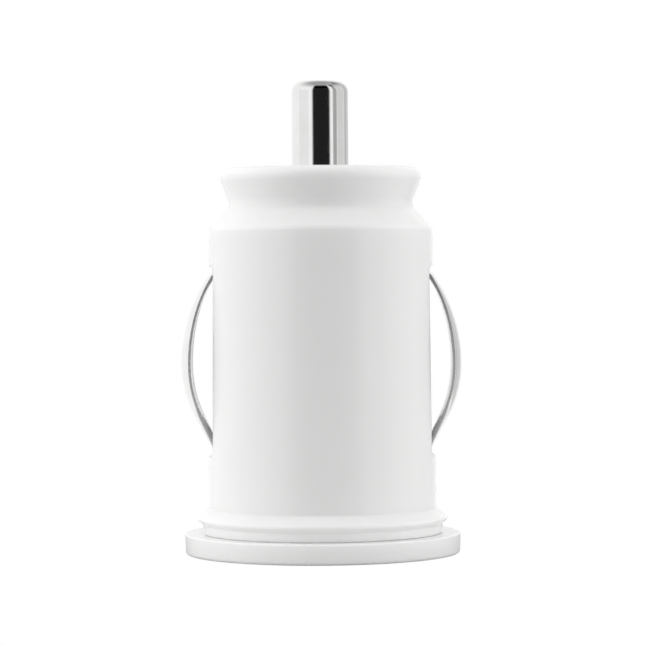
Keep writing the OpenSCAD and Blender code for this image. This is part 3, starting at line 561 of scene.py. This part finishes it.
def make_coil():
    """Wire wound about Z, its first and last turns lying close."""
    bm = bmesh.new()
    line_r = COIL_R - WIRE_D / 2
    place = Matrix.Translation((line_r, 0, SEAT_Z + WIRE_D / 2 + 0.05)) @ Matrix.Rotation(
        math.pi / 2, 4, "X")
    sides = 12
    made = bmesh.ops.create_circle(bm, cap_ends=True, radius=WIRE_D / 2, segments=sides,
                                   matrix=place)
    end = made["verts"] + bm.faces[:] + bm.edges[:]
    height = PIN_HOLE_Z - SEAT_Z - WIRE_D - 0.1
    close = 1.1 * WIRE_D
    for turns, rise in ((0.75, 0.75 * close), (COIL_TURNS - 1.5, height - 1.5 * close),
                        (0.75, 0.75 * close)):
        steps = round(turns * 40)
        made = bmesh.ops.spin(bm, geom=end, cent=(0, 0, 0), axis=(0, 0, 1), steps=steps,
                              dvec=(0, 0, rise / steps), angle=2 * math.pi * turns)
        end = made["geom_last"]
    discs = [f for f in bm.faces if len(f.verts) == sides]
    bmesh.ops.delete(bm, geom=discs[1:-1], context="FACES_ONLY")
    bmesh.ops.recalc_face_normals(bm, faces=bm.faces)
    coil = piece("coil_spring", bm, spring_wire, "plug", "spring_wire", "tip_spring")
    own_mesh(coil)


def bow_radius(z):
    """Distance of the bow's outer face from the axis at a height.

    It is an arc from the crown up, and below the crown a tighter arc that runs into a straight.
    """
    rise, fall = BOW_HI - BOW_PEAK_Z, BOW_REACH - (COLLAR_R - 0.2)
    high_r = (rise ** 2 + fall ** 2) / (2 * fall)
    drop, sink = BOW_PEAK_Z - BOW_LO, BOW_REACH - (COLLAR_R - 0.3)
    low_r = 0.84 * (drop ** 2 + sink ** 2) / (2 * sink)
    low_a = math.asin(low_r / math.hypot(drop, low_r - sink)) - math.atan2(low_r - sink, drop)
    if z >= BOW_PEAK_Z:
        return BOW_REACH - high_r + math.sqrt(high_r ** 2 - (z - BOW_PEAK_Z) ** 2)
    under = BOW_PEAK_Z - z
    if under < low_r * math.sin(low_a):
        return BOW_REACH - low_r + math.sqrt(low_r ** 2 - under ** 2)
    start = BOW_REACH - low_r * (1 - math.cos(low_a))
    return start - (under - low_r * math.sin(low_a)) * math.tan(low_a)


def bow_path():
    """Points (z, r) up the bow's outer face, hooks and soft bends included."""
    heights = [BOW_LO + (BOW_HI - BOW_LO) * i / 60 for i in range(61)]
    bm = rounded_line([
        (HOOK_R, HOOK_LO, 0), (HOOK_R, WINDOW_LO + 0.1, 0.5),
        *[(bow_radius(z), z, 0.5 if z in (heights[0], heights[-1]) else 0) for z in heights],
        (HOOK_TOP_R, WINDOW_HI - 0.1, 0.5), (HOOK_TOP_R, HOOK_HI, 0)], closed=False)
    points = sorted((v.co.z, v.co.x) for v in bm.verts)
    bm.free()
    return points


def strip_half_width(z):
    """Half the strip's width at a height: widest at the crown, even at the hooks."""
    taper = (STRIP_W - STRIP_END_W) / 2
    bulge_r = ((WINDOW_HI - WINDOW_LO) ** 2 / 4 + taper ** 2) / (2 * taper)
    along = abs(z - BOW_PEAK_Z)
    lens = STRIP_W / 2 - bulge_r + math.sqrt(max(0, bulge_r ** 2 - along ** 2))
    return max(STRIP_END_W / 2, lens)


def make_bow(side, body, name, node):
    """A thin spring strip, widest at its crown and arched across its width."""
    path = bow_path()
    last = len(path) - 1
    bm = bmesh.new()
    bmesh.ops.create_grid(bm, x_segments=14, y_segments=last, size=1)
    row = bm.verts.layers.int.new("row")
    for v in bm.verts:
        v[row] = round((v.co.y + 1) / 2 * last)
        v.co.x *= strip_half_width(path[v[row]][0])
    outer = bm.verts[:]
    made = bmesh.ops.extrude_face_region(bm, geom=bm.faces[:], use_keep_orig=True)["geom"]
    inner = [v for v in made if isinstance(v, bmesh.types.BMVert)]
    for verts, radius in ((outer, ARCH_R), (inner, ARCH_R - STRIP_T)):
        for v in verts:
            i, y = v[row], v.co.x
            way = Vector(path[min(i + 1, last)]) - Vector(path[max(i - 1, 0)])
            sink = (ARCH_R - math.sqrt(radius ** 2 - y ** 2)) / way.length
            v.co = (path[i][1] - sink * way.x, y, path[i][0] + sink * way.y)
    bmesh.ops.recalc_face_normals(bm, faces=bm.faces)
    ease(bm, sharp_edges(bm, 45), 0.06)
    lug = joined(
        block((LUG_X, -1.5, HOOK_HI - STRIP_T), (HOOK_TOP_R - 0.15, 1.2, HOOK_HI), edge=0.04),
        block((LUG_X, 0, HOOK_HI - STRIP_T), (LUG_X + 0.8, 2.85, HOOK_HI), edge=0.04))
    bm = joined(bm, lug)
    if side < 0:
        flipped(bm)
    bow = piece(name, bm, nickel_strip, body, "nickel_strip", node, angle=40)
    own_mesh(bow)


# Inner parts

# CAD nodes that keep their shape: finish, slot, and the width of their eased edges
CARRIED = {
    "spring_seat": (brass_sheet, "brass_sheet", 0.08),
    "circuit_board": (board_laminate, "board_laminate", 0.03),
    "usb_shell": (port_steel, "port_steel", 0.05),
    "usb_insulator": (port_plastic, "port_plastic", 0.06),
    "usb_contact_1": (contact_gold, "contact_gold", 0.04),
    "usb_contact_2": (contact_gold, "contact_gold", 0.04),
    "usb_contact_3": (contact_gold, "contact_gold", 0.04),
    "usb_contact_4": (contact_gold, "contact_gold", 0.04),
    "converter_chip_leads": (tinned_metal, "tinned_metal", 0.03),
    "rectifier_diode_tabs": (tinned_metal, "tinned_metal", 0.02),
}


def behind_board(x, z, half_x, half_z, low, high):
    """Opposite corners of a box on the board's back, between two heights above it."""
    return ((x - half_x, BOARD_BACK + low, z - half_z),
            (x + half_x, BOARD_BACK + high, z + half_z))


def facing_front(bm, x, z, y):
    """Turns a shape made about Z to stand on the board and point to the front, at y on its foot."""
    return moved(bm, Matrix.Translation((x, y, z)) @ Matrix.Rotation(math.pi / 2, 4, "X"))


def facing_back(bm, x, z):
    """The same for a shape that stands on the back of the board."""
    return moved(bm, Matrix.Translation((x, BOARD_BACK, z)) @ Matrix.Rotation(-math.pi / 2, 4, "X"))


def moulded_block(low, high, lean, edge):
    """A block whose sides lean in from a line round its middle, as a mould leaves it."""
    bm = block(low, high)
    middle = (Vector(low) + Vector(high)) / 2
    bmesh.ops.bisect_plane(bm, geom=bm.verts[:] + bm.edges[:] + bm.faces[:], plane_co=middle,
                           plane_no=(0, 1, 0))
    for v in bm.verts:
        if abs(v.co.y - middle.y) > 0.01:
            v.co.x -= math.copysign(lean, v.co.x - middle.x)
            v.co.z -= math.copysign(lean, v.co.z - middle.z)
    ease(bm, sharp_edges(bm), edge)
    return bm


def wire(radius, start, way, *moves):
    """Round wire from a point: a number goes on straight, an axis, angle and radius bend it."""
    bm = bmesh.new()
    here, way = Vector(start), Vector(way)
    place = Matrix.Translation(here) @ way.to_track_quat("Z", "Y").to_matrix().to_4x4()
    bmesh.ops.create_circle(bm, cap_ends=False, radius=radius, segments=20, matrix=place)
    end = bm.verts[:] + bm.edges[:]
    for move in moves:
        if isinstance(move, tuple):
            axis, angle, bend_r = Vector(move[0]), math.radians(move[1]), move[2]
            centre = here + axis.cross(way) * bend_r
            made = bmesh.ops.spin(bm, geom=end, cent=centre, axis=axis, angle=angle, steps=8)
            turn = Matrix.Rotation(angle, 3, axis)
            here, way = centre + turn @ (here - centre), turn @ way
        else:
            made = bmesh.ops.spin(bm, geom=end, cent=here, axis=(0, 0, 1), dvec=way * move,
                                  angle=0, steps=1)
            here = here + way * move
        end = made["geom_last"]
    bmesh.ops.holes_fill(bm, edges=[e for e in bm.edges if e.is_boundary], sides=0)
    bmesh.ops.recalc_face_normals(bm, faces=bm.faces)
    ease(bm, sharp_edges(bm, 60), radius * 0.25)
    return bm


def solder_drop(x, z, half_x, high, half_z, y=BOARD_BACK):
    """A rounded drop of solder on the board; a minus height puts it on the front."""
    bm = bmesh.new()
    bmesh.ops.create_uvsphere(bm, u_segments=24, v_segments=16, radius=1)
    bmesh.ops.bisect_plane(bm, geom=bm.verts[:] + bm.edges[:] + bm.faces[:], plane_co=(0, 0, 0),
                           plane_no=(0, -math.copysign(1, high), 0), clear_outer=True)
    bmesh.ops.holes_fill(bm, edges=[e for e in bm.edges if e.is_boundary], sides=0)
    bmesh.ops.recalc_face_normals(bm, faces=bm.faces)
    size = Matrix.Diagonal((half_x, abs(high), half_z, 1))
    return moved(bm, Matrix.Translation((x, y, z)) @ size)


def solder_cone(x, z, lead_r):
    """Solder drawn up round a lead that comes through the board."""
    return facing_back(turned([(lead_r + 0.38, 0, 0), (lead_r + 0.3, 0.06, 0.05),
                               (lead_r + 0.06, 0.22, 0.15), (lead_r, 0.44, 0)], steps=32), x, z)


def make_board_parts():
    """The board with its port and seat from the CAD, and the small parts soldered to it."""
    for node, (finish, slot, edge) in CARRIED.items():
        piece(node + "_shown", from_cad(node, edge), finish, "plug", slot, node)
    chip = moulded_block(*behind_board(CHIP_X, CHIP_Z, 1.95, 2.45, 0.15, 1.6), 0.09, 0.05)
    dimple = bmesh.new()
    corner = Matrix.Translation((CHIP_X - 1.25, BOARD_BACK + 2.0, CHIP_Z + 1.8))
    bmesh.ops.create_uvsphere(dimple, u_segments=32, v_segments=16, radius=0.6, matrix=corner)
    piece("chip_body", carved(chip, dimple), black_epoxy, "plug", "black_epoxy", "converter_chip")
    for i, x in enumerate(RESISTOR_X, 1):
        body = moulded_block(*behind_board(x, RESISTOR_Z, 0.98, 0.6, 0.04, 0.5), 0.0, 0.03)
        piece("resistor_body_%d" % i, body, black_epoxy, "plug", "black_epoxy",
              "chip_resistor_%d" % i)
    ends = [block(*behind_board(x + side * 0.82, RESISTOR_Z, 0.18, 0.62, 0.03, 0.53), edge=0.05)
            for x in RESISTOR_X for side in (-1, 1)]
    ends += [block((x - 0.13, 2.05, TIMING_Z - 0.5), (x + 0.13, 2.85, TIMING_Z + 0.5), edge=0.05)
             for x in (TIMING_X - 0.49, TIMING_X + 0.49)]
    ends += [block(*behind_board(-OUTPUT_X, z, 1.6, 0.3, 0.03, 0.93), edge=0.07)
             for z in (FUSE_Z - 1.9, FUSE_Z + 1.9)]
    ends += [block(*behind_board(OUTPUT_X, z, 1.1, 0.06, 0.03, 1.3), edge=0.03)
             for z in (15.6, 20.3)]
    piece("chip_ends", joined(*ends), tinned_metal, "plug", "tinned_metal")
    small = block((TIMING_X - 0.6, 2.07, TIMING_Z - 0.48), (TIMING_X + 0.6, 2.83, TIMING_Z + 0.48),
                  edge=0.06)
    piece("small_capacitor", small, ceramic_tan, "plug", "ceramic_tan", "timing_capacitor")
    fuse = moulded_block(*behind_board(-OUTPUT_X, FUSE_Z, 1.55, 2.16, 0.06, 0.88), 0.0, 0.06)
    piece("fuse_body", fuse, fuse_green, "plug", "fuse_green", "input_fuse")
    output = moulded_block(*behind_board(OUTPUT_X, 17.95, 1.6, 2.3, 0.05, 2.41), 0.12, 0.1)
    piece("tantalum_block", output, tantalum, "plug", "amber_epoxy", "output_capacitor")
    diode = moulded_block(*behind_board(OUTPUT_X, FUSE_Z, 1.3, 2.0, 0.13, 2.13), 0.1, 0.07)
    piece("diode_block", diode, diode_body, "plug", "black_epoxy", "rectifier_diode")


def make_inductor():
    """Ferrite drum that lies against the board, and the copper wire wound on its waist."""
    core = turned([(2.5, SOLDER, 0), (DRUM_R, SOLDER, 0.12), (DRUM_R, DRUM_RIM, 0.12),
                   (DRUM_CORE_R, DRUM_RIM, 0.1), (DRUM_CORE_R, DRUM_H - DRUM_RIM, 0.1),
                   (DRUM_R, DRUM_H - DRUM_RIM, 0.12), (DRUM_R, DRUM_H, 0.15), (0.9, DRUM_H, 0.1),
                   (0.75, DRUM_H - 0.15, 0.1)], steps=96)
    piece("drum_core", facing_front(core, DRUM_X, DRUM_Z, BOARD_FRONT), ferrite, "plug", "ferrite",
          "inductor_core")
    turns, low, high = 11, DRUM_RIM + 0.05, DRUM_H - DRUM_RIM - 0.02
    wire_r = (high - low) / turns / 2
    crest = 2.7 - wire_r
    humps = [(crest + wire_r * math.sin(math.pi * step / 8),
              low + 2 * wire_r * (turn + (1 - math.cos(math.pi * step / 8)) / 2), 0)
             for turn in range(turns) for step in range(8)]
    inside = DRUM_CORE_R + 0.1
    winding = turned([(inside, low, 0), *humps, (crest, high, 0), (inside, high, 0)],
                     closed=True, steps=96)
    piece("coil_winding", facing_front(winding, DRUM_X, DRUM_Z, BOARD_FRONT), copper_wire, "plug",
          "copper_wire", "inductor_winding", angle=50)


def make_can():
    """Electrolytic can: sleeve curled over its rim, scored bare top, crimped neck and bung."""
    at = Matrix.Translation((CAN_X, CAN_Y, CAN_LO))
    sleeve = turned([(CAN_R - 0.25, 0, 0.05), (CAN_R, 0, 0.1), (CAN_R, 1, 0.15),
                     (CAN_R - 0.2, 1.4, 0.3), (CAN_R, 1.8, 0.15), (CAN_R, CAN_H, 0.35),
                     (CAN_R - 0.55, CAN_H, 0.03), (CAN_R - 0.55, CAN_H - 0.06, 0),
                     (CAN_R - 0.4, CAN_H - 0.25, 0), (CAN_R - 0.25, CAN_H - 0.5, 0),
                     (CAN_R - 0.25, 1.9, 0.2), (CAN_R - 0.45, 1.4, 0.2),
                     (CAN_R - 0.25, 0.95, 0)], closed=True, steps=96)
    piece("can_sleeve", moved(sleeve, at), capacitor_sleeve, "plug", "capacitor_sleeve",
          "input_capacitor")
    lid = turned([(CAN_R - 0.5, CAN_H - 0.6, 0), (CAN_R - 0.5, CAN_H - 0.08, 0.1),
                  (1.6, CAN_H - 0.08, 0)], steps=96)
    for turn in (0.3, 60.3, 120.3):
        score = block((-1.5, -0.04, CAN_H - 0.14), (1.5, 0.04, CAN_H + 0.1))
        lid = carved(lid, moved(score, Matrix.Rotation(math.radians(turn), 4, "Z")))
    piece("can_lid", moved(lid, at), tinned_metal, "plug", "tinned_metal")
    bung = turned([(1.9, 0.1, 0), (2.15, 0.1, 0.12), (2.15, 0.93, 0.1), (1.9, 0.93, 0)], steps=72)
    # The left lead has a hole of its own, the right one goes straight into the rubber
    hole = turned([(CAN_LEAD_R + 0.02, -0.1, 0), (CAN_LEAD_R + 0.02, 1.2, 0)], steps=32)
    bung = carved(bung, moved(hole, Matrix.Translation((-1, 0, 0))))
    piece("can_bung", moved(bung, at), black_rubber, "plug", "black_rubber",
          "input_capacitor_bung")
    leads = joined(*[wire(CAN_LEAD_R, (CAN_X + side, CAN_Y, CAN_LO + 0.9), (0, 0, -1), 1.2,
                          ((-1, 0, 0), -90, 0.4), 3.83) for side in (-1, 1)])
    piece("can_leads", leads, tinned_metal, "plug", "tinned_metal", "input_capacitor_leads")


def make_led():
    """Round indicator with a flat on its rim, its leads bent over to the board."""
    lens = turned([(0.02, 0.25, 0), *[(LED_R * math.sin(math.radians(turn)),
                                       0.25 + LED_R * (1 - math.cos(math.radians(turn))), 0)
                                      for turn in range(10, 90, 8)],
                   (LED_R, 0.25 + LED_R, 0), (LED_R, LED_HI - 0.8, 0.08),
                   (LED_RIM_R, LED_HI - 0.8, 0.08), (LED_RIM_R, LED_HI, 0.08), (1.2, LED_HI, 0)],
                  steps=72)
    flat = block((LED_R + 0.04, -2, LED_HI - 1), (3, 2, LED_HI + 1))
    at = Matrix.Translation((0, LED_Y, 0))
    piece("led_body", moved(carved(lens, flat), at), led_lens, "plug", "led_lens", "indicator_led")
    leads = joined(*[wire(0.22, (side * LED_LEAD_X, LED_Y, LED_HI - 0.1), (0, 0, 1), 1.0,
                          ((1, 0, 0), 90, 0.3), 0.95, ((1, 0, 0), -90, 0.3), 2.26)
                     for side in (-1, 1)])
    piece("led_leads", leads, tinned_metal, "plug", "tinned_metal", "indicator_led_leads")


def make_solder():
    """Solder on the board: drops at the ends of chips and bent leads, cones round leads."""
    drops = [solder_drop(CHIP_X + side * CHIP_PAD_X, CHIP_Z + CHIP_PITCH * i, 0.4, 0.16, 0.3)
             for side in (-1, 1) for i in (-1.5, -0.5, 0.5, 1.5)]
    drops += [solder_drop(x + side * 1.02, RESISTOR_Z, 0.25, 0.3, 0.6)
              for x in RESISTOR_X for side in (-1, 1)]
    drops += [solder_drop(OUTPUT_X, z, 1.15, 0.5, 0.3) for z in (15.55, 20.35)]
    drops += [solder_drop(OUTPUT_X, z, 0.85, 0.3, 0.25) for z in (23.4, 27.85)]
    drops += [solder_drop(-OUTPUT_X, z, 1.5, 0.4, 0.24) for z in (23.4, 27.85)]
    drops += [solder_drop(side * LED_LEAD_X, 8.1, 0.42, 0.3, 0.75) for side in (-1, 1)]
    drops += [solder_drop(TIMING_X + side * 0.62, TIMING_Z, 0.2, -0.3, 0.48, BOARD_FRONT)
              for side in (-1, 1)]
    cones = [solder_cone(CAN_X + side, CAN_LO - 0.7, CAN_LEAD_R) for side in (-1, 1)]
    cones += [solder_cone(x, LEG_Z, 0.26) for x in (-3.5, -1.0, 1.0, 3.5)]
    piece("solder_joints", joined(*drops, *cones), tinned_metal, "plug", "tinned_metal")


# Stage, light and camera

def make_floor():
    """A pale floor, open under the disc, that keeps a faint shadow and is clear from below."""
    bm = bmesh.new()
    line = [bm.verts.new((r, 0, FLOOR_Z)) for r in FLOOR_RADII]
    for a, b in zip(line, line[1:]):
        bm.edges.new((a, b))
    bmesh.ops.spin(bm, geom=bm.verts[:] + bm.edges[:], cent=(0, 0, 0), axis=(0, 0, 1),
                   dvec=(0, 0, 0), angle=2 * math.pi, steps=128, use_merge=True)
    for face in bm.faces:
        if face.normal.z < 0:
            face.normal_flip()
    floor = placed("floor", bm)
    finish = Finish("floor", Base_Color=(0.42, 0.42, 0.42, 1), Roughness=0.9,
                    Specular_IOR_Level=0)
    pale = finish.node("ShaderNodeEmission", {}, {"Color": (1, 1, 1, 1), "Strength": 1.085})
    camera_ray = finish.node("ShaderNodeLightPath", output="Is Camera Ray")
    below = finish.node("ShaderNodeNewGeometry", output="Backfacing")
    clear = finish.node("ShaderNodeBsdfTransparent")
    lit = Value(finish, finish.shader.outputs[0])
    top = finish.node("ShaderNodeMixShader", {}, {0: camera_ray * 0.88, 1: lit, 2: pale})
    both = finish.node("ShaderNodeMixShader", {}, {0: below, 1: top, 2: clear})
    output = finish.tree.nodes["Material Output"]
    finish.tree.links.new(both.socket, output.inputs["Surface"])
    floor.data.materials.append(finish.material)


def mirrored_room(light, azimuth, height):
    """How bright each direction is where metal and gloss mirror it.

    Angles are degrees: the azimuth from the camera's side to the right, the height over level.
    """
    dark = light.band(azimuth, -26, 35, 10) * (
        light.step(height, -16, -12) - light.step(height, 42, 72))
    zenith = light.step(height, 30, 76)
    left = light.band(azimuth, -92, -48, 2) * light.band(height, -14, 14, 6)
    right = light.band(height, -14, 58, 6) * (
        light.band(azimuth, 56, 70, 4) * 0.58 + light.band(azimuth, 76, 111, 3) * 0.28
        + light.band(azimuth, 117, 130, 4) * 0.45 + light.band(azimuth, 135, 150, 4) * 0.34)
    return 1 - dark * 0.985 - zenith * 0.62 - left * 0.1 - right


def shading_room(light, azimuth, height):
    """How bright each direction is where it lights the plug without being mirrored."""
    front = light.band(azimuth, -37, 29, 2)
    dark = front * light.band(height, -12, 16, 4)
    upper = front * light.band(height, 20, 62, 4)
    below = light.band(azimuth, -60, 50, 10) * light.band(height, -50, -16, 4)
    back = light.step(abs(azimuth), 90, 130) * (1 - light.step(height, 35, 55))
    low = light.step(-height, 0, 25) * (1 - light.step(-height, 50, 60))
    top = light.step(height, 55, 75)
    return (1 - dark * 0.916 - upper * 0.525 - below * 0.34 - back * 0.4 - low * 0.635
            + top * 0.15)


def make_world():
    """A white room with the dark behind the camera, at least white where the camera sees it."""
    world = bpy.data.worlds.new("studio")
    bpy.context.scene.world = world
    world.use_nodes = True
    light = Finish("studio", owner=world)
    background = world.node_tree.nodes["Background"]
    way = light.node("ShaderNodeTexCoord", output="Generated")
    x, y, z = (light.part_of(way, axis) for axis in "XYZ")
    azimuth = light.maths("ARCTAN2", x, -y) * (180 / math.pi)
    height = light.maths("ARCSINE", z) * (180 / math.pi)
    mirrored_light = mirrored_room(light, azimuth, height)
    shading_light = shading_room(light, azimuth, height)
    diffuse_ray = light.node("ShaderNodeLightPath", output="Is Diffuse Ray")
    strength = mirrored_light + diffuse_ray * (shading_light - mirrored_light)
    camera_ray = light.node("ShaderNodeLightPath", output="Is Camera Ray")
    shown = light.maths("MAXIMUM", strength, camera_ray)
    light.tree.links.new(shown.socket, background.inputs["Strength"])
    background.inputs["Color"].default_value = (1, 1, 1, 1)


def make_lamp(name, azimuth, height, watts, size, distance):
    """A soft square lamp beside the plug, kept out of the mirror of its metal.

    The azimuth is degrees from the camera's side to the right, the lengths are metres.
    """
    data = bpy.data.lights.new(name, "AREA")
    data.size, data.energy = size, watts
    lamp = bpy.data.objects.new(name, data)
    bpy.context.scene.collection.objects.link(lamp)
    turn = math.radians(azimuth)
    place = Vector((distance * math.sin(turn), -distance * math.cos(turn), height))
    from_middle = place - Vector((0, 0, 0.02))
    aim = from_middle.to_track_quat("Z", "Y").to_matrix().to_4x4()
    lamp.matrix_world = Matrix.Translation(place) @ aim
    lamp.visible_glossy = False


def make_camera():
    """The photo's own view, by a long lens from just above the plug's middle."""
    data = bpy.data.cameras.new("camera")
    data.sensor_width = 36
    data.lens = data.sensor_width * FOCAL_LENGTH / PHOTO_WIDTH
    data.clip_start, data.clip_end = 0.01, 10
    camera = bpy.data.objects.new("camera", data)
    bpy.context.scene.collection.objects.link(camera)
    tilt = Euler((math.radians(90 - CAMERA_TILT), 0, 0)).to_matrix()
    lean = Euler((0, 0, math.radians(CAMERA_LEAN))).to_matrix()
    camera.matrix_world = Matrix.Translation(CAMERA_PLACE) @ (tilt @ lean).to_4x4()
    bpy.context.scene.camera = camera
    bpy.context.scene.view_settings.view_transform = "Standard"


make_housing()
make_cap()
make_pin()
make_coil()
make_bow(-1, "left_spring", "left_bow", "left_contact")
make_bow(1, "right_spring", "right_bow", "right_contact")
make_board_parts()
make_inductor()
make_can()
make_led()
make_solder()
make_floor()
make_world()
make_lamp("left_lamp", azimuth=-80, height=0.09, watts=0.66, size=0.2, distance=0.4)
make_lamp("right_lamp", azimuth=76, height=0.07, watts=0.52, size=0.2, distance=0.4)
make_lamp("front_lamp", azimuth=-4, height=0.056, watts=0.05, size=0.1, distance=0.2)
make_camera()

bpy.context.view_layer.update()
